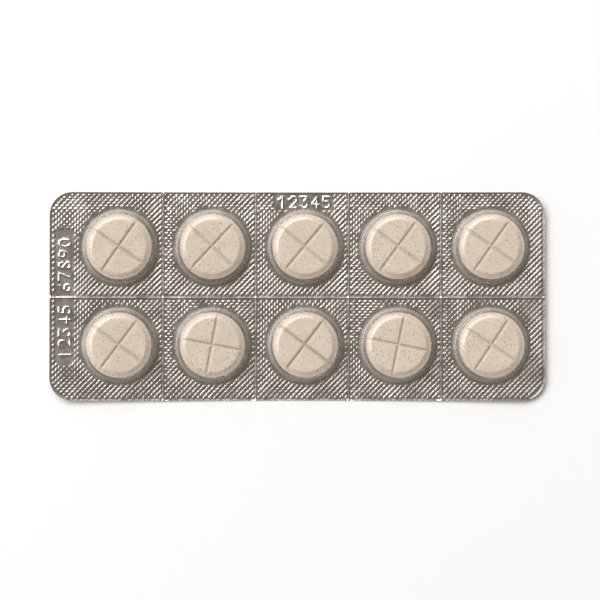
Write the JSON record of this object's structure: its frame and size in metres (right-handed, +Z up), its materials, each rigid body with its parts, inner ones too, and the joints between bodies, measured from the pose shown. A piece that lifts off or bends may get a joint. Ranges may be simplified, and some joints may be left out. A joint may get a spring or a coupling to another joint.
{
  "type": "blister pack",
  "caption": "Clear thermoformed blister card with round quarter-scored tablets in stepped pockets, sealed with knurled foil and divided by score lines.",
  "frame": {"origin": "middle of the card's outline in plan, on the surface that the card rests on", "axes": "+X along the card's length, away from the wide margin; +Y across its width; +Z up, out of the pocket side"},
  "size_m": [0.095, 0.04, 0.0055],
  "materials": {
    "film": "clear gloss",
    "foil": "bright, knurled by the heat seal",
    "tablet": "matt pressed powder with fine speckles"
  },
  "bodies": {
    "root": {"blister_film": "film", "lidding_foil": "foil", "tablet_1_1": "tablet", "tablet_1_2": "tablet", "tablet_1_3": "tablet", "tablet_1_4": "tablet", "tablet_1_5": "tablet", "tablet_2_1": "tablet", "tablet_2_2": "tablet", "tablet_2_3": "tablet", "tablet_2_4": "tablet", "tablet_2_5": "tablet"}
  },
  "joints": []
}
